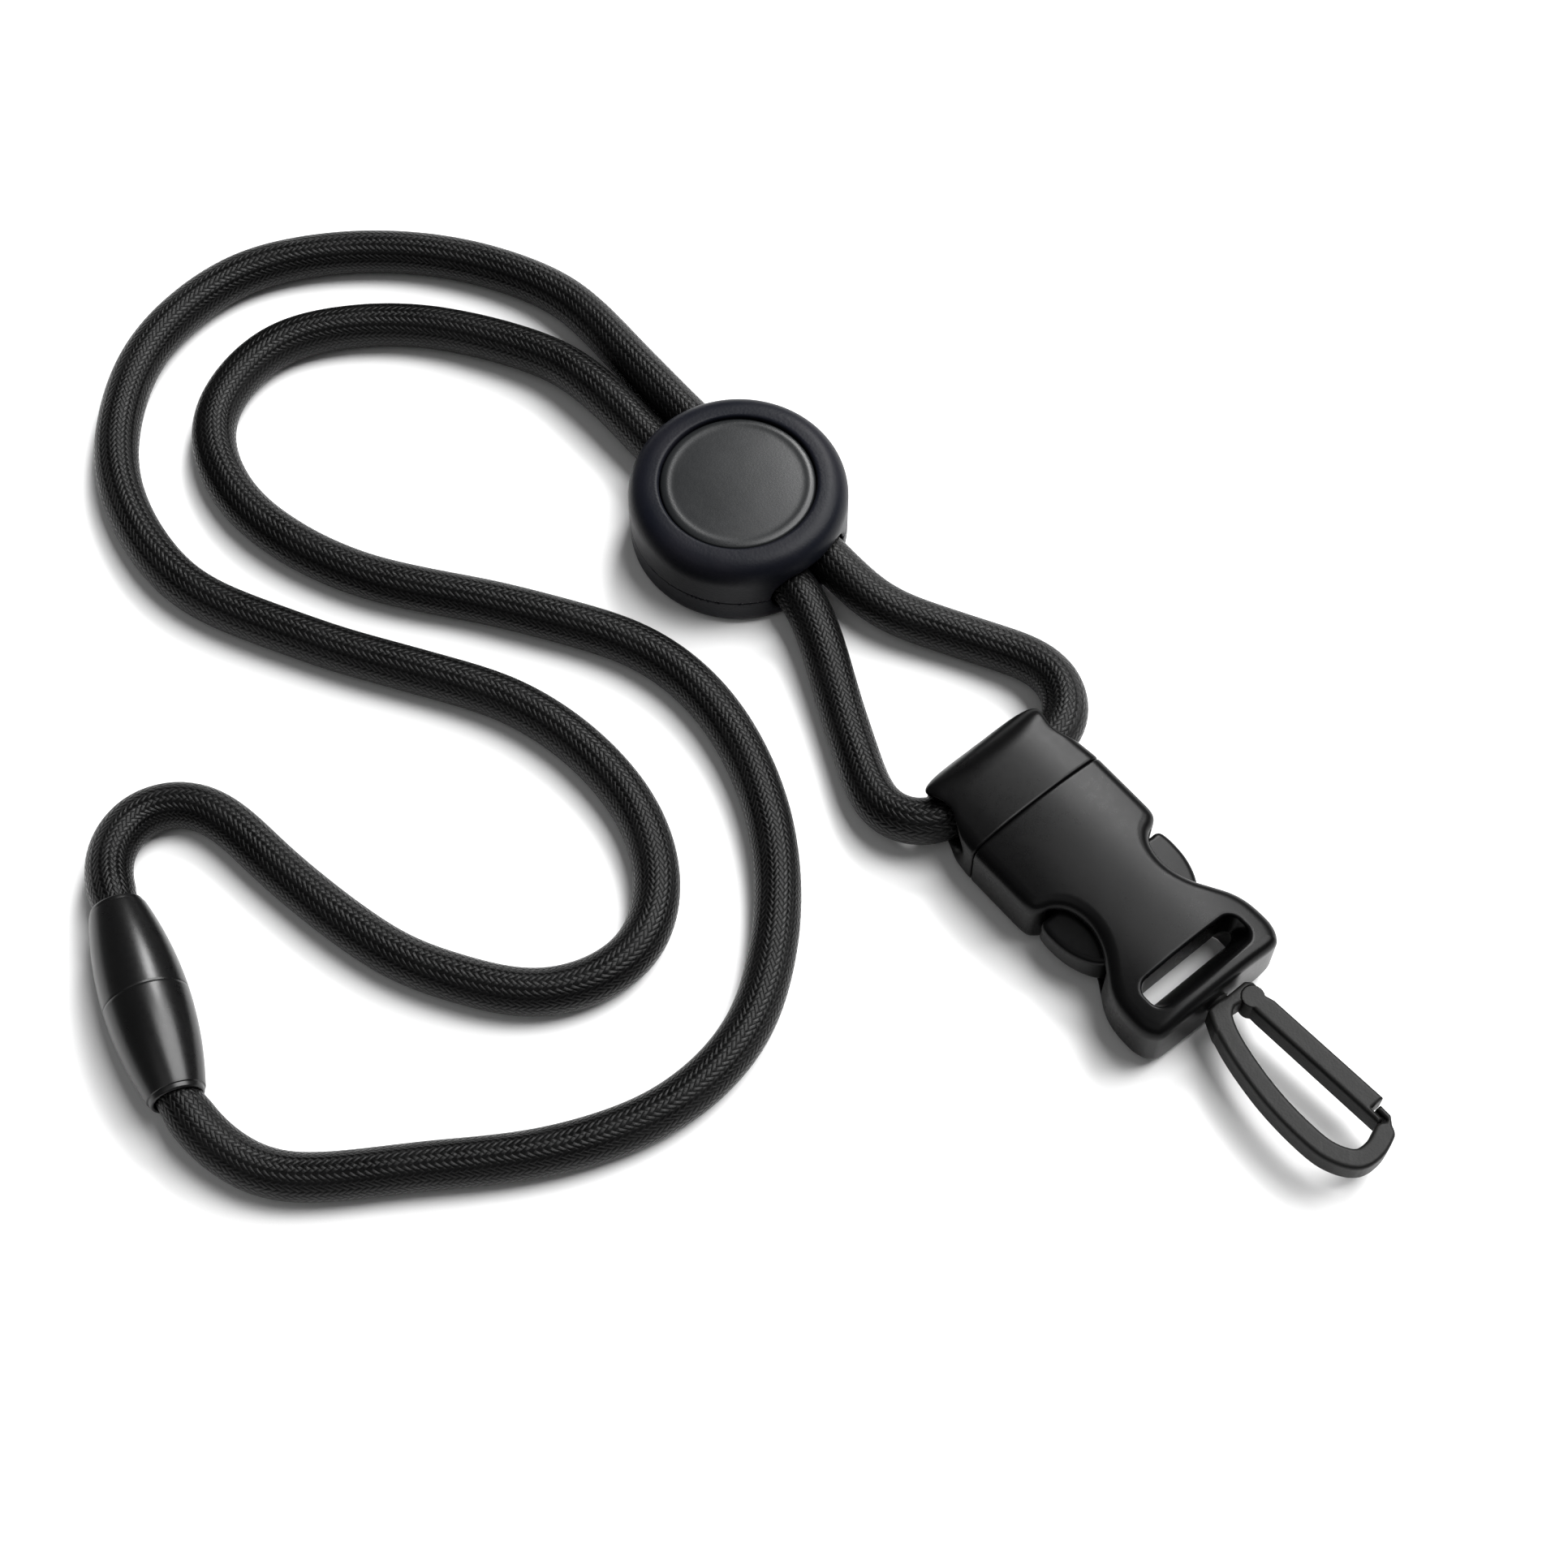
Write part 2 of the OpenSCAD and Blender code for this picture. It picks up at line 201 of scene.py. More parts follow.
def block(x, y, z, centre, half, corner=0.0):
    """Box with round edges, from its centre and half its size each way."""
    return rounded([np.abs(p - c) - h for p, c, h in zip((x, y, z), centre, half)], corner)


def rod(u, v, radius):
    """Endless rod along the axis where u and v are zero."""
    return np.sqrt(u**2 + v**2) - radius


def to_line(x, y, start, end):
    """Distance to a straight line between two plan points."""
    (ax, ay), (bx, by) = start, end
    ex, ey, wx, wy = bx - ax, by - ay, x - ax, y - ay
    t = np.clip((wx * ex + wy * ey) / max(ex * ex + ey * ey, 1e-9), 0, 1)
    return np.sqrt((wx - ex * t) ** 2 + (wy - ey * t) ** 2)


def outline(x, y, points):
    """Signed distance to a closed plan outline, negative inside."""
    distance, outside = np.inf, True
    for start, end in zip(points, np.roll(points, -1, 0)):
        distance = np.minimum(distance, to_line(x, y, start, end))
        # The point is inside after an odd number of edges crossed on the way out
        (ax, ay), (bx, by) = start, end
        above, below, left = y >= ay, y < by, (bx - ax) * (y - ay) > (by - ay) * (x - ax)
        outside = outside ^ ((above & below & left) | (~above & ~below & ~left))
    return np.where(outside, 1, -1) * distance


def ribbon(x, y, path, width):
    """Signed distance to a round-ended stroke along a plan path."""
    lines = [to_line(x, y, start, end) for start, end in itertools.pairwise(path)]
    return functools.reduce(np.minimum, lines) - width / 2


def smooth_line(points, per_span):
    """Smooth curve through points. The first and the last only steer its ends."""
    p = np.array(points, float)
    t = np.linspace(0, 1, per_span, endpoint=False)[:, None]
    spans = [
        0.5
        * (
            2 * b
            + (c - a) * t
            + (2 * a - 5 * b + 4 * c - d) * t**2
            + (3 * b - a - 3 * c + d) * t**3
        )
        for a, b, c, d in zip(p, p[1:], p[2:], p[3:])
    ]
    return np.concatenate(spans + [p[-2:-1]])


def both_sides(side):
    """Closed outline from its +Y side, whose mirror image follows it backwards."""
    side = np.array(side, float)
    return np.concatenate([side, side[::-1] * (1, -1)])


def lathe(name, profile, origin, angle, material, sides=96):
    """Solid turned from a closed profile of (distance along the axis, radius) round a level axis."""
    along, radius = np.array(profile, float).T
    turn = np.arange(sides) * 2 * math.pi / sides
    axis = np.array([math.cos(angle), math.sin(angle), 0])
    side = np.array([-math.sin(angle), math.cos(angle), 0])
    up = np.array([0, 0, 1])
    points, rows = [], []
    for s, r in zip(along, radius):
        middle = origin + s * axis
        if r < 1e-6:
            rows.append([len(points)] * sides)
            points.append(middle)
            continue
        rows.append(list(range(len(points), len(points) + sides)))
        points += [middle + r * (math.cos(a) * side + math.sin(a) * up) for a in turn]
    faces = []
    for low, high in zip(rows, rows[1:] + rows[:1]):
        for k in range(sides):
            m = (k + 1) % sides
            face = list(dict.fromkeys([low[k], low[m], high[m], high[k]]))
            if len(face) > 2:
                faces.append(face[::-1])
    return new_mesh(name, points, faces, material, sharp_angle=math.radians(50))


# ---- Materials ----


class Paint:
    """One material with a short way to write its nodes."""

    def __init__(self, name):
        self.material = bpy.data.materials.new(name)
        self.material.use_nodes = True
        self.nodes = self.material.node_tree.nodes
        self.links = self.material.node_tree.links
        self.shader = self.nodes["Principled BSDF"]

    def put(self, socket, value):
        """Links another node's output to a socket, or sets a plain value on it."""
        if isinstance(value, bpy.types.NodeSocket):
            self.links.new(value, socket)
        else:
            socket.default_value = value

    def math(self, operation, *values):
        """Result of a Math node."""
        node = self.nodes.new("ShaderNodeMath")
        node.operation = operation
        for socket, value in zip(node.inputs, values):
            self.put(socket, value)
        return node.outputs[0]

    def noise(self, scale, detail=3.0, roughness=0.5):
        """Noise with about this many lumps per metre."""
        node = self.nodes.new("ShaderNodeTexNoise")
        node.inputs["Scale"].default_value = scale
        node.inputs["Detail"].default_value = detail
        node.inputs["Roughness"].default_value = roughness
        self.put(node.inputs["Vector"], self.coordinates("Object"))
        return node.outputs["Fac"]

    def grain(self, scale):
        """Small round cells, as on a spark-eroded mould."""
        node = self.nodes.new("ShaderNodeTexVoronoi")
        node.inputs["Scale"].default_value = scale
        self.put(node.inputs["Vector"], self.coordinates("Object"))
        return node.outputs["Distance"]

    def coordinates(self, kind):
        """Object or UV coordinates, from one node for the whole material."""
        found = [n for n in self.nodes if n.type == "TEX_COORD"]
        node = found[0] if found else self.nodes.new("ShaderNodeTexCoord")
        return node.outputs[kind]

    def ramp(self, value, low, high, from_low=0.0, from_high=1.0):
        """Number that goes from low to high as value goes from from_low to from_high."""
        node = self.nodes.new("ShaderNodeMapRange")
        for socket, v in zip(node.inputs, (value, from_low, from_high, low, high)):
            self.put(socket, v)
        return node.outputs[0]

    def mix(self, share, a, b):
        """Colour between a, at share 0, and b, at share 1."""
        node = self.nodes.new("ShaderNodeMix")
        node.data_type = "RGBA"
        self.put(node.inputs["Factor"], share)
        self.put(node.inputs["A"], a if isinstance(a, bpy.types.NodeSocket) else (*a, 1))
        self.put(node.inputs["B"], b if isinstance(b, bpy.types.NodeSocket) else (*b, 1))
        return node.outputs["Result"]

    def bump(self, height, distance, strength=1.0, under=None):
        """Normal of a relief this many metres deep, on top of the one under it, if any."""
        node = self.nodes.new("ShaderNodeBump")
        node.inputs["Distance"].default_value = distance
        node.inputs["Strength"].default_value = strength
        self.links.new(height, node.inputs["Height"])
        if under:
            self.links.new(under, node.inputs["Normal"])
        return node.outputs["Normal"]

    def edges(self):
        """Near 1 on outer edges, near 0 elsewhere."""
        node = self.nodes.new("ShaderNodeNewGeometry")
        return self.ramp(node.outputs["Pointiness"], 0, 1, 0.53, 0.62)

    def finish(self, color, roughness, normal, **constants):
        """The finished material. The constants are the same all over it."""
        self.put(self.shader.inputs["Base Color"], color)
        self.put(self.shader.inputs["Roughness"], roughness)
        self.put(self.shader.inputs["Normal"], normal)
        for name, value in constants.items():
            self.shader.inputs[name.replace("_", " ")].default_value = value
        return self.material


def moulded(name, dark, light, rough, grain_size, grain_depth, wear, **constants):
    """Moulded plastic: cloudy tone, fine mould grain, faint sink waves, scuffs and paler edges.

    The grain's size and depth are in metres.
    """
    p = Paint(name)
    clouds = p.noise(90, 4)
    specks = p.noise(2600, 2)
    tone = p.mix(p.ramp(clouds, 0, 1, 0.35, 0.65), dark, light)
    worn = p.math("MULTIPLY", p.edges(), p.ramp(p.noise(700, 4), 0, 1, 0.4, 0.65))
    tone = p.mix(p.math("MULTIPLY", worn, wear), tone, [min(1, 3 * c + 0.02) for c in light])
    scuffs = p.ramp(p.noise(1200, 5, 0.7), -0.02, 0.025, 0.3, 0.7)
    roughness = p.math("ADD", p.ramp(clouds, rough - 0.015, rough + 0.015, 0.3, 0.7), scuffs)
    sink = p.bump(p.noise(160, 1), 0.00006, 0.5)
    texture = p.math("ADD", p.grain(1 / grain_size), p.math("MULTIPLY", specks, 0.6))
    return p.finish(tone, roughness, p.bump(texture, grain_depth, 1, sink), **constants)


def braid():
    """Tubular braid, two yarns over two, from a UV map that counts yarns round and stitches along."""
    p = Paint("cord_braid")
    split = p.nodes.new("ShaderNodeSeparateXYZ")
    p.put(split.inputs[0], p.coordinates("UV"))
    sway = p.ramp(p.noise(120, 2), -0.2, 0.2)
    around, along = split.outputs["X"], p.math("ADD", split.outputs["Y"], sway)
    # Yarns of set a wind one way round the cord and yarns of set b the other way
    a = p.math("ADD", around, along)
    b = p.math("SUBTRACT", around, along)
    a_row, b_row = p.math("FLOOR", a), p.math("FLOOR", b)

    def wrap(value):
        """Place in the pattern, which repeats every four yarns."""
        return p.math("FLOORED_MODULO", value, 4.0)

    def arch(value):
        """Rises from 0 to 1 and falls to 0 again as value goes from 0 to 1."""
        return p.math("SINE", p.math("MULTIPLY", value, math.pi))

    a_on_top = p.math("LESS_THAN", wrap(p.math("ADD", p.math("ADD", a_row, b_row), 0.5)), 2.0)
    a_run = p.math("MULTIPLY", wrap(p.math("ADD", a_row, b)), 0.5)
    b_run = p.math("MULTIPLY", p.math("SUBTRACT", wrap(p.math("ADD", a, b_row)), 2.0), 0.5)
    a_across, b_across = p.math("FRACT", a), p.math("FRACT", b)

    def choose(on_a, on_b):
        """The value that belongs to the yarn on top."""
        node = p.nodes.new("ShaderNodeMix")
        p.put(node.inputs["Factor"], a_on_top)
        p.put(node.inputs["A"], on_b)
        p.put(node.inputs["B"], on_a)
        return node.outputs["Result"]

    across = choose(a_across, b_across)
    run = choose(a_run, b_run)
    height = p.math("MULTIPLY", p.math("POWER", arch(across), 0.6), p.math("POWER", arch(run), 0.5))
    strands = p.math("ABSOLUTE", p.math("SINE", p.math("MULTIPLY", across, 5 * math.pi)))
    fuzz = p.noise(5200, 3, 0.7)
    relief = p.math("ADD", height, p.math("MULTIPLY", strands, 0.12))
    relief = p.math("ADD", relief, p.math("MULTIPLY", fuzz, 0.25))
    # Cloudy black yarn, with paler fuzz painted on its crowns as sheen, and painted shade near black in the
    # gaps between yarns
    patches = p.noise(240, 3)
    yarn = p.mix(p.ramp(patches, 0, 1, 0.35, 0.7), (0.0004, 0.0004, 0.00045), (0.0012, 0.0012, 0.0013))
    # Painted sheen: the fuzz on the yarn crowns is made paler
    yarn = p.mix(p.math("MULTIPLY", fuzz, p.math("MULTIPLY", height, 0.3)), yarn, (0.006, 0.006, 0.006))
    # Painted shade: the gaps between yarns are made near black
    yarn = p.mix(p.ramp(height, 0.85, 0, 0.1, 0.6), yarn, (0.0002, 0.0002, 0.0002))
    roughness = p.math("ADD", p.ramp(height, 0.5, 0.22), p.ramp(patches, -0.04, 0.08, 0.35, 0.7))
    normal = p.bump(relief, 0.000075)
    return p.finish(yarn, roughness, normal, Specular_IOR_Level=0.16)


def metal():
    """Crimped aluminium with a fine uneven grain."""
    p = Paint("ferrule_metal")
    grain = p.noise(3000, 3)
    tone = p.mix(p.ramp(p.noise(400), 0, 1, 0.35, 0.65), (0.58, 0.58, 0.6), (0.72, 0.72, 0.74))
    return p.finish(tone, p.ramp(grain, 0.25, 0.5), p.bump(grain, 0.00002), Metallic=1.0)


BUCKLE = moulded(
    "buckle_plastic",
    dark=(0.0016, 0.0016, 0.0017),
    light=(0.0024, 0.0024, 0.0025),
    rough=0.29,
    grain_size=0.0002,
    grain_depth=0.000001,
    wear=0.03,
    Specular_IOR_Level=0.1,
)
BARREL = moulded(
    "barrel_plastic",
    dark=(0.0018, 0.0018, 0.0019),
    light=(0.0028, 0.0028, 0.0029),
    rough=0.29,
    grain_size=0.0004,
    grain_depth=0.0000015,
    wear=0.03,
    Specular_IOR_Level=0.34,
)
SLIDER = moulded(
    "slider_rubber",
    dark=(0.003, 0.0037, 0.0066),
    light=(0.0068, 0.0068, 0.0098),
    rough=0.42,
    grain_size=0.0004,
    grain_depth=0.00001,
    wear=0.1,
    Specular_IOR_Level=0.1,
)
INLAY = moulded(
    "inlay_plastic",
    dark=(0.0075, 0.0083, 0.009),
    light=(0.01, 0.0108, 0.0116),
    rough=0.34,
    grain_size=0.0003,
    grain_depth=0.000003,
    wear=0.1,
    Specular_IOR_Level=0.25,
)
HOOK = moulded(
    "hook_plastic",
    dark=(0.004, 0.004, 0.0039),
    light=(0.0072, 0.0072, 0.0069),
    rough=0.48,
    grain_size=0.00028,
    grain_depth=0.00001,
    wear=0.15,
    Specular_IOR_Level=0.16,
)
CORD = braid()
METAL = metal()


# ---- Cord ----

# The route repeats the CAD's, and so do the places that it passes
CORD_R = 3.0
BARREL_AT = np.array([8.9, -99.8, 5.3])
BARREL_ANGLE = math.radians(-18)
BARREL_DIR = np.array([math.cos(BARREL_ANGLE), math.sin(BARREL_ANGLE), 0])
BARREL_HALF = 13.6
# Middle of the cord where it crosses the buckle's cap, and its straight run to each side
BORE = np.array([52.5, -1.2, 5.4])
MOUTH = 5.0
# Both lanes through the slider are straight from the first of these places to the last
STRAIGHT = (-27, -17, 5, 15)
LANE_Z = 4.8
LEFT_Y, RIGHT_Y = 4.4, -2.0


def on_barrel(s):
    """Point on the barrel's axis. The plug half is on its positive side."""
    return BARREL_AT + s * BARREL_DIR


ROUTE = [
    on_barrel(0), on_barrel(-6), on_barrel(-BARREL_HALF),
    (-8.3, -94.2, 4.6), (-12.3, -91.2, 3.7), (-14.4, -85.8, 3), (-11.6, -80.3, 3), (-6.2, -78, 3),
    (4, -76.8, 3), (15, -74.8, 3), (26, -71, 3), (37.7, -62.1, 3), (40.9, -51, 3), (34.7, -41.7, 3),
    (21.3, -37.2, 3), (3.2, -40, 3), (-19.3, -53.5, 3), (-40, -62.7, 3), (-60.2, -59, 3), (-74.1, -44.4, 3),
    (-76, -25.3, 3), (-64.2, -6.8, 3), (-46.1, 4.2, 3.3),
    *[(x, LEFT_Y, LANE_Z) for x in STRAIGHT],
    (23.6, 5.5, 3.8), (33, 10.8, 3.1), (42.6, 15.3, 3.7), (48.6, 14.1, 4.7), (52.4, 9.9, 5.3),
    *[BORE + (0, side * MOUTH, 0) for side in (1, 0, -1)],
    (52, -10.6, 5.3), (49.2, -13.5, 4.8), (44.2, -14.3, 3.9), (33.8, -9.9, 3.1), (23.5, -5, 3.8),
    *[(x, RIGHT_Y, LANE_Z) for x in reversed(STRAIGHT)],
    (-38, -4, 3.8), (-53.8, -14.2, 3), (-63, -29.6, 3), (-58.5, -44.3, 3), (-44, -49.4, 3),
    (-26.1, -44.2, 3), (-9.4, -32.3, 3), (7.8, -22.2, 3), (24, -21.2, 3), (41.2, -28.1, 3), (55, -41.6, 3),
    (59.4, -56, 3), (55.6, -71.4, 3), (46.3, -86.4, 3), (37.4, -99.2, 3), (30, -103.4, 3.6),
    on_barrel(BARREL_HALF), on_barrel(6), on_barrel(0),
]  # fmt: skip


def even(line, gap):
    """The same line with points an equal distance apart."""
    s = np.concatenate([[0], np.cumsum(np.linalg.norm(np.diff(line, axis=0), axis=1))])
    t = np.linspace(0, s[-1], round(s[-1] / gap) + 1)
    return np.stack([np.interp(t, s, column) for column in line.T], 1)


def relaxed(line, gap, reach):
    """The line with its tight spots eased over about reach, as a springy cord lies."""
    # The line is continued beyond its ends, so that they stay where they are
    n = int(3 * reach / gap)
    weights = np.exp(-0.5 * (np.arange(-n, n + 1) * gap / reach) ** 2)
    before = 2 * line[0] - line[n:0:-1]
    after = 2 * line[-1] - line[-2 : -n - 2 : -1]
    padded = np.concatenate([before, line, after])
    return np.stack([np.convolve(c, weights / weights.sum(), "valid") for c in padded.T], 1)


def cord_line(gap):
    """The cord's middle line, eased and kept above the floor, in steps of gap."""
    line = relaxed(even(smooth_line(ROUTE, 40), gap), gap, reach=2.6)
    line[:, 2] = np.maximum(line[:, 2], CORD_R)
    return even(line, gap)


def cord_radius(line, s, turn):
    """The cord's radius at every point of its line and every turn round it."""
    # The barrel's mouths squeeze the cord, and its braid is a little uneven everywhere
    depth, run = 0.26, 2.5
    near = np.abs((line - BARREL_AT) @ BARREL_DIR)
    at_barrel = np.linalg.norm(line - BARREL_AT, axis=1) < BARREL_HALF + 4
    squeeze = np.where(at_barrel, depth * np.clip((BARREL_HALF + run - near) / run, 0, 1), 0)
    lumps = 0.035 * np.sin(s[:, None] / 2.9 + 2 * turn) * np.sin(s[:, None] / 41 + turn)
    return CORD_R - squeeze[:, None] - 0.03 + lumps


def map_braid(mesh, s, gap, sides):
    """UV map of the tube that counts yarns round it and stitches along it."""
    yarns, stitch = 28, 0.9
    u, v = np.meshgrid(np.arange(sides) * yarns / sides, s[:-1] / stitch)
    du, dv = yarns / sides, gap / stitch
    corners = np.stack([u, v, u, v + dv, u + du, v + dv, u + du, v], 2).reshape(-1)
    flat = np.zeros(2 * len(mesh.loops), np.float32)
    flat[: len(corners)] = corners
    mesh.uv_layers.new(name="braid").data.foreach_set("uv", flat)


def make_cord():
    """The whole cord as one closed tube along its route."""
    gap, sides = 0.4, 48
    line = cord_line(gap)
    s = np.arange(len(line)) * gap
    turn = np.arange(sides) * 2 * math.pi / sides
    tangent = np.gradient(line, axis=0)
    tangent /= np.linalg.norm(tangent, axis=1)[:, None]
    side = np.cross(tangent, (0, 0, 1))
    side /= np.linalg.norm(side, axis=1)[:, None]
    rise = np.cross(side, tangent)
    ring = np.cos(turn)[None, :, None] * side[:, None] + np.sin(turn)[None, :, None] * rise[:, None]
    radius = cord_radius(line, s, turn)
    points = (line[:, None] + radius[:, :, None] * ring).reshape(-1, 3)
    first = (np.arange(len(line) - 1) * sides)[:, None] + np.arange(sides)
    following = (np.arange(len(line) - 1) * sides)[:, None] + (np.arange(sides) + 1) % sides
    faces = np.stack([first, first + sides, following + sides, following], 2).reshape(-1, 4).tolist()
    last = (len(line) - 1) * sides
    caps = [list(range(sides)), list(range(last + sides - 1, last - 1, -1))]
    cord = new_mesh("lanyard_cord", points, faces + caps, CORD)
    map_braid(cord.data, s, gap, sides)
    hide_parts("neck_cord_left", "neck_cord_right", "neck_cord_tail", "front_cord_loop")
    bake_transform(cord)


make_cord()


# ---- Breakaway barrel ----

BARREL_R, BARREL_END_R = 5.3, 3.4
BARREL_GAP = 0.003
CORD_HOLE_R = 2.8
FERRULE_FROM, FERRULE_TO, FERRULE_R = 6, 10, 3.5
# Each half's own end: the socket's blind hole and the plug's stem with its snap bead
STEM_HOLE = [(4.5, 0), (4.5, 2.25), (BARREL_GAP, 2.35)]
STEM = [(-3.9, 0), (-4.2, 1.2), (-3.9, 1.95), (-3.3, 2.15), (BARREL_GAP, 2.2)]


def barrel_outside():
    """Spindle profile from the parting line to the open end, with the rim and the cord's mouth."""
    end = BARREL_HALF
    s = np.linspace(BARREL_GAP + 0.02, end - 0.9, 40)
    r = BARREL_END_R + (BARREL_R - BARREL_END_R) * (1 - (s / end) ** 2)
    bell = [(BARREL_GAP, r[0] - 0.015), *zip(s, r)]
    rim = [(end - 0.75, r[-1] - 0.05), (end - 0.68, r[-1] - 0.24), (end - 0.25, r[-1] - 0.3)]
    lip = [(end - 0.06, r[-1] - 0.38), (end, r[-1] - 0.5)]
    mouth = [(end - 0.04, CORD_HOLE_R + 0.12), (end - 0.25, CORD_HOLE_R)]
    return bell + rim + lip + mouth


def turned(name, profile, side, material, body, slot, node):
    """A turned piece on the positive or the negative side of the barrel's middle."""
    mirrored = [(side * s, r) for s, r in profile]
    place(lathe(name, mirrored[::side], BARREL_AT, BARREL_ANGLE, material), body, slot, node)


def barrel():
    """Both halves, and the crimped ferrule on the cord's end in each."""
    from_s, to_s, chamber_r = FERRULE_FROM - 0.3, FERRULE_TO + 0.1, FERRULE_R + 0.06
    chamber = [(to_s, CORD_HOLE_R), (to_s, chamber_r), (from_s, chamber_r), (from_s, 0)]
    steps = enumerate(np.linspace(FERRULE_FROM, FERRULE_TO, 17))
    crimps = [(s, FERRULE_R - 0.12 * (i % 4 == 2)) for i, s in steps]
    sleeve = [(FERRULE_FROM, CORD_R + 0.02), *crimps, (FERRULE_TO, CORD_R + 0.02)]
    halves = ((-1, "socket", "neck_loop", STEM_HOLE), (1, "plug", "breakaway_end", STEM))
    for side, half, body, end in halves:
        profile = barrel_outside() + chamber + end
        turned(f"barrel_{half}_half", profile, side, BARREL, body, "barrel", f"barrel_{half}")
    for side, half, body, _ in halves:
        node = f"{half}_end_ferrule"
        turned(f"{node}_sleeve", sleeve, side, METAL, body, "ferrule", node)


barrel()


# ---- Slider ----

SLIDER_R, SLIDER_H = 14.5, 12.0
CHANNEL_R = 3.3
# Half the gap between the shells, which part at the height of the cords' middle
SHELL_GAP = 0.02
PEGS = list(itertools.product((-4, 4), (-10.6, 10.6)))
PEG_R, PEG_TOP = 1.4, 8
INLAY_R, INLAY_DEPTH = 10.2, 1.6
LIP_R, LIP_H = 9.4, 0.1


def channel(y, z):
    """Passage for both cords, side by side."""
    middle, lane = (LEFT_Y + RIGHT_Y) / 2, (LEFT_Y - RIGHT_Y) / 2
    return rod(np.maximum(np.abs(y - middle) - lane, 0), z - LANE_Z, CHANNEL_R)


def slider_base(x, y, z):
    """Lower shell with the lower half of the channel and four pegs."""
    r = np.sqrt(x**2 + y**2)
    wall = keep(r - SLIDER_R, -z, 1.9)
    body = keep(wall, z - LANE_Z + SHELL_GAP, 0.15)
    body = cut(body, channel(y, z), 0.7)
    for px, py in PEGS:
        body = join(body, keep(rod(x - px, y - py, PEG_R), np.abs(z - (PEG_TOP - 2)) - 2, 0.3))
    return body


def slider_cover(x, y, z):
    """Upper shell with the rest of the channel, the inlay's recess and the pegs' holes."""
    r = np.sqrt(x**2 + y**2)
    # The rim's top slopes down to the wall
    crown = z - SLIDER_H + 0.045 * np.maximum(r - 11, 0) ** 2
    body = keep(keep(r - SLIDER_R, crown, 2.8), LANE_Z + SHELL_GAP - z, 0.1)
    body = cut(body, channel(y, z), 0.7)
    body = cut(body, keep(r - (INLAY_R + 0.15), SLIDER_H - INLAY_DEPTH - z), 0.5)
    for px, py in PEGS:
        body = cut(body, keep(rod(x - px, y - py, PEG_R + 0.06), z - (PEG_TOP + 0.2), 0.2))
    return body


def inlay(x, y, z):
    """Disc with a low lip round its slightly domed face."""
    r = np.sqrt(x**2 + y**2)
    lip = LIP_H * np.exp(-(((r - LIP_R) / 0.5) ** 2))
    face = z - (SLIDER_H - 0.05 + lip - 0.0036 * r**2)
    return keep(keep(r - INLAY_R, face, 0.4), SLIDER_H - INLAY_DEPTH + 0.01 - z, 0.2)


for part, field, node, material, finish in (
    ("slider_lower_shell", slider_base, "slider_base", SLIDER, "slider"),
    ("slider_upper_shell", slider_cover, "slider_cover", SLIDER, "slider"),
    ("slider_inlay_disc", inlay, "slider_inlay", INLAY, "inlay"),
):
    solid(part, field, node, "slider", finish, step=0.28, material=material)


# ---- Buckle ----

MID_Z = BORE[2]
LINE_Y = BORE[1]
SEAM_X = box_mm("female_body")[0][0]
END_X = box_mm("female_body")[1][0]
# Radius of the domed faces, half the width at the seam, and how round the outer edges are
DOME_R, COLLAR, EDGE = 46.5, 10.55, 1.7
GAP = 0.03
BORE_R = 3.2
# The latches' pocket, as half its width and half its height, and the height of an arm in it
POCKET = (8.6, 3.1)
ARM_H = 5.4
KNUCKLE_X, KNUCKLE_Y, KNUCKLE_R = 61.4, 6.0, 1.3
# The hook's stem turns in the end bar. Its head and the head's seat: radius, middle, half length
STEM_R = 1.45
HEAD_R, HEAD_X, HEAD_HALF = 2.2, 90.15, 0.5
SEAT_R, SEAT_X, SEAT_HALF = 2.35, 90.1, 0.62


def shell(y, z, plan, soft):
    """Domed bar inside a plan outline."""
    crown = np.sqrt(y**2 + (np.abs(z) + DOME_R - MID_Z) ** 2) - DOME_R
    return keep(crown, plan, soft)


CAP = both_sides(
    smooth_line([
        (45, 0), (47.1, 0), (47.2, 3.5), (47.5, 6), (48.1, 8), (49, 9.3), (50.7, 9.95), (53.5, 10.05),
        (56.3, 10.25), (58.4, 10.5), (59.6, COLLAR), (64, COLLAR), (66, COLLAR),
    ], 6)
)  # fmt: skip


def male_half(x, y, z):
    """Cap with the cord's bore, boss, guide blade and knuckle seats."""
    y, z = y - LINE_Y, z - MID_Z
    cap = shell(y, z, outline(x, y, CAP), EDGE)
    cap = keep(cap, rod(np.minimum(x - BORE[0], 0), z, MID_Z), 0.5)
    flare = np.clip((np.abs(y) - MOUTH) / 6, 0, 1)
    mouth = rod(x - BORE[0], z, BORE_R + 1.5 * flare**1.3)
    cap = cut(cap, mouth, 1.1)
    cap = keep(cap, x - SEAM_X + GAP, 0.35)
    # The boss fills the pocket's mouth, and the guide blade has a groove on each face
    boss = block(x, y, z, (60.5, 0, 0), (2.1, POCKET[0] - 0.3, ARM_H / 2), 0.3)
    body = join(cap, boss, 0.3)
    body = join(body, block(x, y, z, (71, 0, 0), (9.5, 1.6, ARM_H / 2), 0.5), 0.8)
    groove = block(x, y, np.abs(z) - ARM_H / 2, (71.5, 0, 0), (8, 0.6, 0.8), 0.2)
    body = cut(body, groove, 0.3)
    # Each latch's knuckle has a round seat in the boss, open to the side
    seat = rod(x - KNUCKLE_X, np.abs(y) - KNUCKLE_Y, KNUCKLE_R + 0.06)
    opening = block(x, np.abs(y), z, (KNUCKLE_X + 3, KNUCKLE_Y + 7.3, 0), (3, 8.66, 9))
    body = cut(body, keep(join(seat, opening), KNUCKLE_X - 1.5 - x), 0.15)
    return cut(body, rod(x - BORE[0], z, BORE_R))


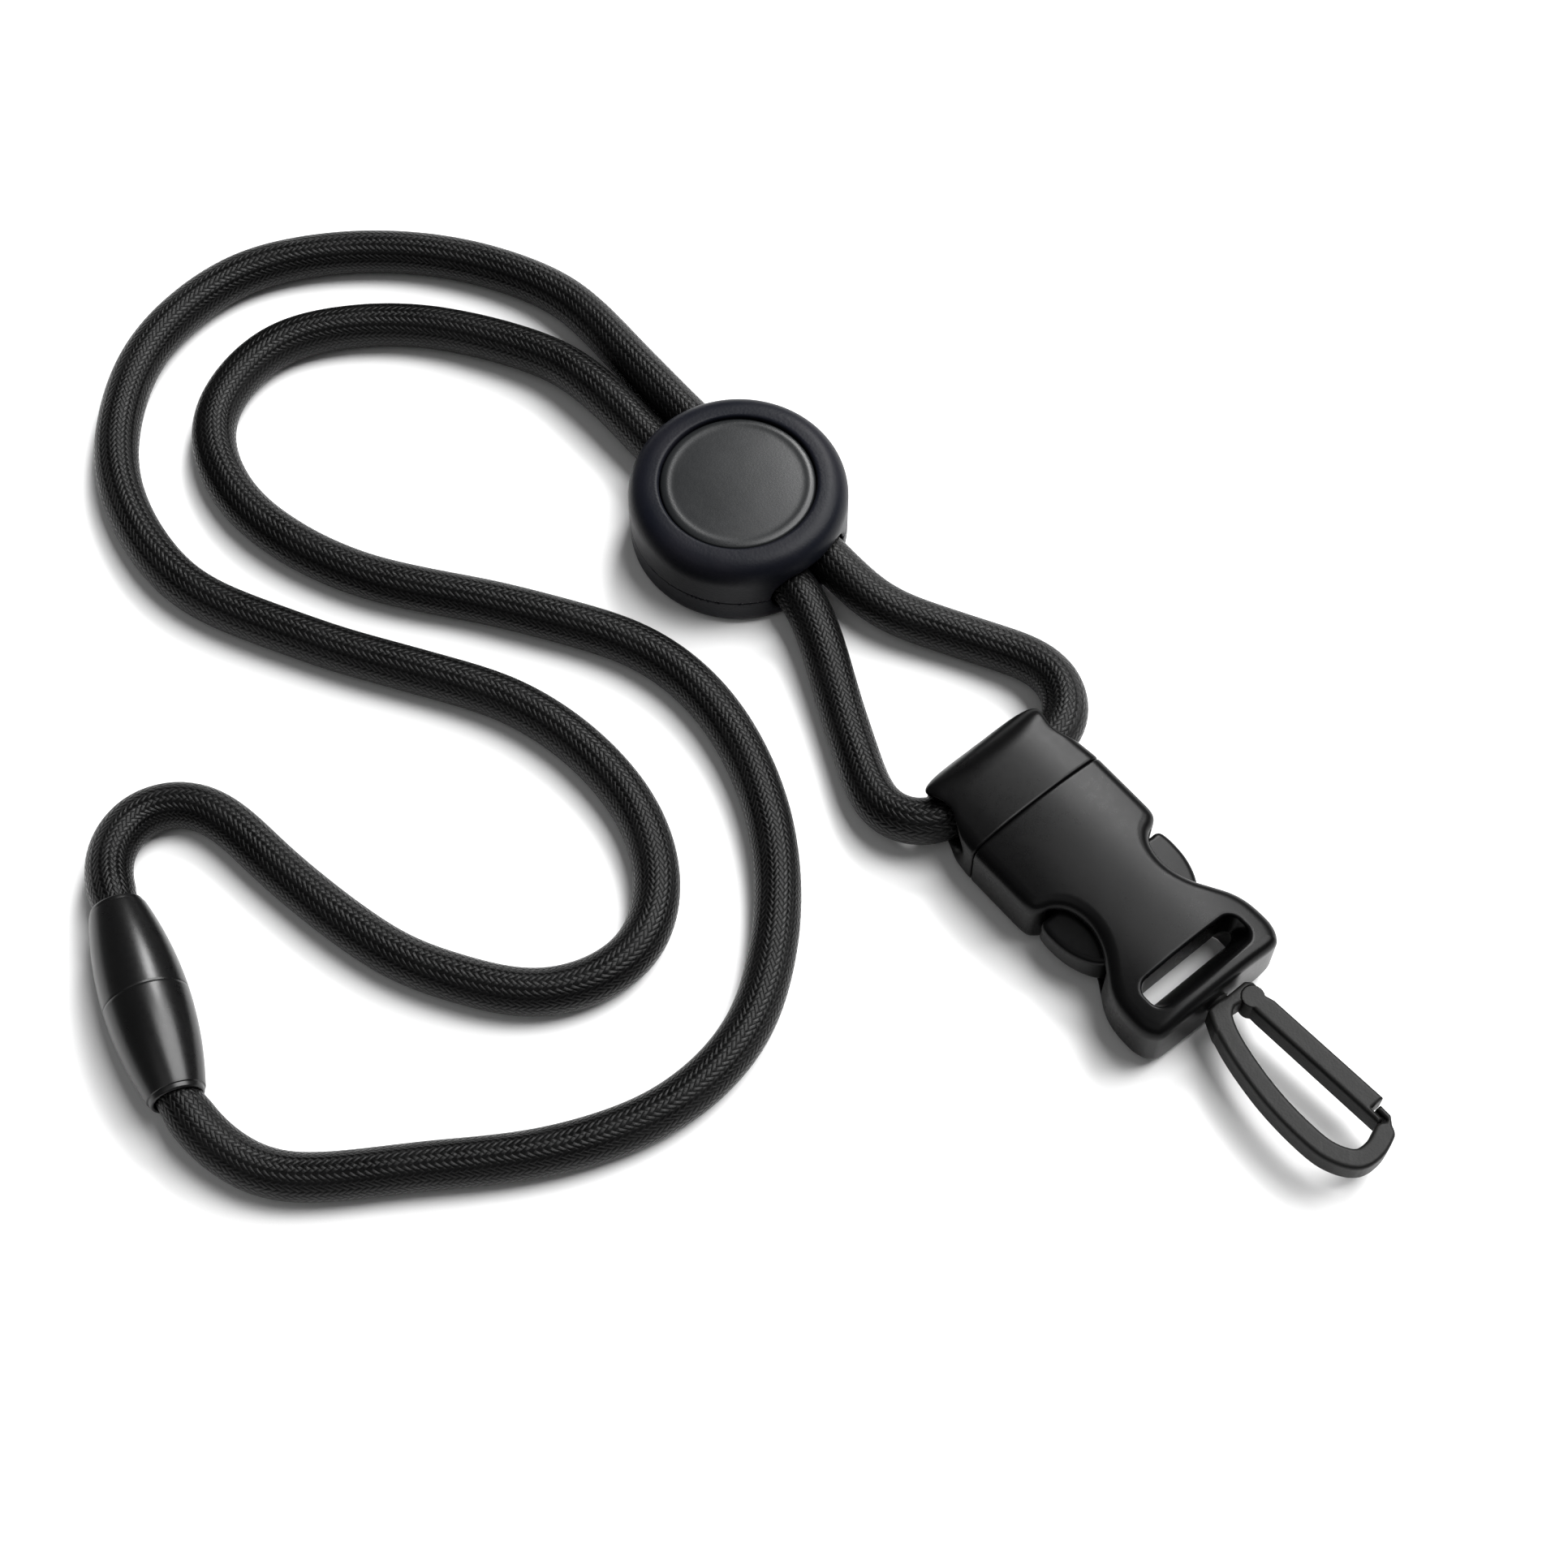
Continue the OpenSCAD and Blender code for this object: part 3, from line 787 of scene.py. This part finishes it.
LATCH = smooth_line([
    (60, 5.4), (61.4, 5.2), (66, 4.9), (71, 4.5), (76, 4.05), (79.4, 4.5), (80.9, 5.6), (80.7, 6.8),
    (79.5, 8.3), (77.8, 9.35), (75.6, 10.05), (73.2, 10.25), (71.5, 10.05), (70.95, 9.4), (71, 8.2),
    (70.6, 7.4), (68, 6.8), (61.4, 6.8), (60, 6.8),
], 5)  # fmt: skip


def latch(side):
    """Field of the latch arm on the +Y side, 1, or on the -Y side, -1."""

    def field(x, y, z):
        y, z = side * (y - LINE_Y), z - MID_Z
        # The thumb pad's faces slope outwards like the buckle's dome
        face = np.abs(z) - ARM_H / 2 + 0.2 * np.maximum(y - 6.4, 0)
        arm = keep(outline(x, y, LATCH), face, 0.8)
        knuckle = rod(x - KNUCKLE_X, y - KNUCKLE_Y, KNUCKLE_R)
        arm = join(arm, keep(knuckle, np.abs(z) - ARM_H / 2, 0.4))
        dimple = np.sqrt((x - 77) ** 2 + (y - 3.9) ** 2 + z**2) - 0.9
        return cut(arm, dimple, 0.3)

    return field


FEMALE = both_sides(
    smooth_line([
        (50, COLLAR), (54, COLLAR), (62, COLLAR), (66.5, COLLAR), (68.6, 10.5), (69.7, 10.15),
        (70.4, 9.3), (71.1, 7.95), (72.3, 6.95), (74, 6.45), (75.8, 6.4), (77.6, 6.8), (79.4, 7.6),
        (81.2, 8.8), (83.2, 10.1), (85.2, 10.85), (87.4, 11.1), (89.4, 11), (91, 10.3),
        (END_X, 9), (END_X, 5), (END_X, 0), (END_X, -3),
    ], 6)
)  # fmt: skip
# The slot's wall towards the buckle, then the end bar's crest at mid-height and its edge at the faces
SLOT_WALL, SLOT_CREST, SLOT_EDGE = 85.2, 87.2, 89.9
SLOT_HALF, SLOT_CORNER = 7.8, 1.6


def female_half(x, y, z):
    """Shell with the latches' pocket, the webbing slot and the swivel's seat."""
    y, z = y - LINE_Y, z - MID_Z
    body = shell(y, z, outline(x, y, FEMALE), EDGE)
    body = keep(body, SEAM_X + GAP - x, 0.35)
    body = cut(body, block(x, y, z, (69, 0, 0), (13, *POCKET), 0.2), 0.4)
    # The end bar is crested so that webbing bends round it, and the underside is scooped open
    bar = SLOT_CREST + (SLOT_EDGE - SLOT_CREST) * (np.abs(z) / MID_Z) ** 1.3
    wall = SLOT_WALL - 0.42 * np.maximum(-z, 0)
    across = np.abs(x - (wall + bar) / 2) - (bar - wall) / 2
    body = cut(body, rounded((across, np.abs(y) - SLOT_HALF), SLOT_CORNER), 0.5)
    stem_hole = keep(rod(y, z, STEM_R + 0.06), 88 - x)
    seat = keep(rod(y, z, SEAT_R), np.abs(x - SEAT_X) - SEAT_HALF)
    return cut(body, join(stem_hole, seat), 0.2)


for part, field, node, body, step in (
    ("buckle_male_half", male_half, "male_body", "buckle_male", 0.22),
    ("buckle_latch_left", latch(1), "latch_arm_left", "latch_left", 0.2),
    ("buckle_latch_right", latch(-1), "latch_arm_right", "latch_right", 0.2),
    ("buckle_female_half", female_half, "female_body", "buckle_female", 0.22),
):
    solid(part, field, node, body, "buckle", step, BUCKLE)


# ---- Hook ----

# Height and width of the hook's bar, and where its root begins
HOOK_H, HOOK_W, HOOK_BACK = 3.6, 2.6, 92.2
HOOK_LINE = smooth_line([
    (91, 0), (93, -1), (96, -2.4), (100, -3.4), (105, -4.1), (110, -4.2), (114, -3.7), (116.8, -2),
    (117.3, 0.4), (116.6, 2.8), (115.6, 4.4),
], 6)  # fmt: skip
HOOK_ROOT = np.array([
    (HOOK_BACK, -2), (94.8, -3.2), (93.9, 0.6), (94.4, 4.6), (93, 4.6), (HOOK_BACK, 3.8),
])  # fmt: skip
HOOK_LIP = np.array([(113.9, 4.15), (113.9, 5), (115.6, 5), (117.6, 3.4), (115.7, 2.4), (115.7, 4.15)])
GATE = np.array([
    (94.8, 2.1), (96.4, 2.1), (113.4, 3), (115.3, 3.1), (115.3, 3.9), (113.5, 3.9), (113.5, 5.9),
    (96.4, 4.9), (94.8, 4.4),
])  # fmt: skip
HINGE_X, HINGE_Y, HINGE_R = 94.4, 3.2, 1.45


def hook(x, y, z):
    """Hook with its stem and head. The gate closes its mouth."""
    y, z = y - LINE_Y, z - MID_Z
    plan = join(ribbon(x, y, HOOK_LINE, HOOK_W), outline(x, y, HOOK_ROOT), 0.8)
    plan = join(plan, outline(x, y, HOOK_LIP), 0.25)
    body = keep(plan, np.abs(z) - HOOK_H / 2, 0.6)
    body = keep(body, HOOK_BACK - x, 0.3)
    body = cut(body, rod(x - HINGE_X, y - HINGE_Y, HINGE_R + GAP), 0.05)
    stem = keep(rod(y, z, STEM_R), np.abs(x - 91.2) - 1.6)
    head = keep(rod(y, z, HEAD_R), np.abs(x - HEAD_X) - HEAD_HALF, 0.3)
    return join(join(body, stem, 0.3), head)


def gate(x, y, z):
    """Gate with its round knuckle."""
    y, z = y - LINE_Y, z - MID_Z
    height = np.abs(z) - HOOK_H / 2
    arm = keep(outline(x, y, GATE), height, 0.6)
    return join(arm, keep(rod(x - HINGE_X, y - HINGE_Y, HINGE_R), height, 0.12))


for part, field, node, body in (
    ("swivel_hook", hook, "hook_body", "hook"),
    ("swivel_hook_gate", gate, "hook_gate", "gate"),
):
    solid(part, field, node, body, "hook", step=0.16, material=HOOK)


# ---- Floor and light ----

LAMP_DISTANCE = 1.8


def floor():
    """Plain pale sheet under the object."""
    half = 3000
    corners = [(-half, -half, 0), (half, -half, 0), (half, half, 0), (-half, half, 0)]
    p = Paint("floor_paper")
    tone = p.mix(p.noise(30, 3), (0.86, 0.86, 0.86), (0.88, 0.88, 0.88))
    paper = p.finish(tone, p.ramp(p.noise(900), 0.8, 0.9), p.bump(p.noise(4000), 0.00001))
    new_mesh("floor", corners, [(0, 1, 2, 3)], paper)


def lamp(name, azimuth, elevation, size, watts, stretch=1.0):
    light = bpy.data.lights.new(name, "AREA")
    light.shape = "RECTANGLE"
    light.size = size
    light.size_y = size * stretch
    light.energy = watts
    holder = add(bpy.data.objects.new(name, light))
    at = TARGET + direction(math.radians(azimuth), math.radians(elevation)) * LAMP_DISTANCE
    aim(holder, at, TARGET)


floor()
lamp("key", 166, 58, size=1.1, watts=58, stretch=1.4)
lamp("gloss", 209, 44, size=0.45, watts=27, stretch=1.4)
lamp("fill", 20, 62, size=1.2, watts=3)
world = bpy.data.worlds.new("studio")
world.use_nodes = True
background = world.node_tree.nodes["Background"]
background.inputs["Color"].default_value = (1, 1, 1, 1)
background.inputs["Strength"].default_value = 0.1
bpy.context.scene.world = world
bpy.context.scene.view_settings.view_transform = "Standard"
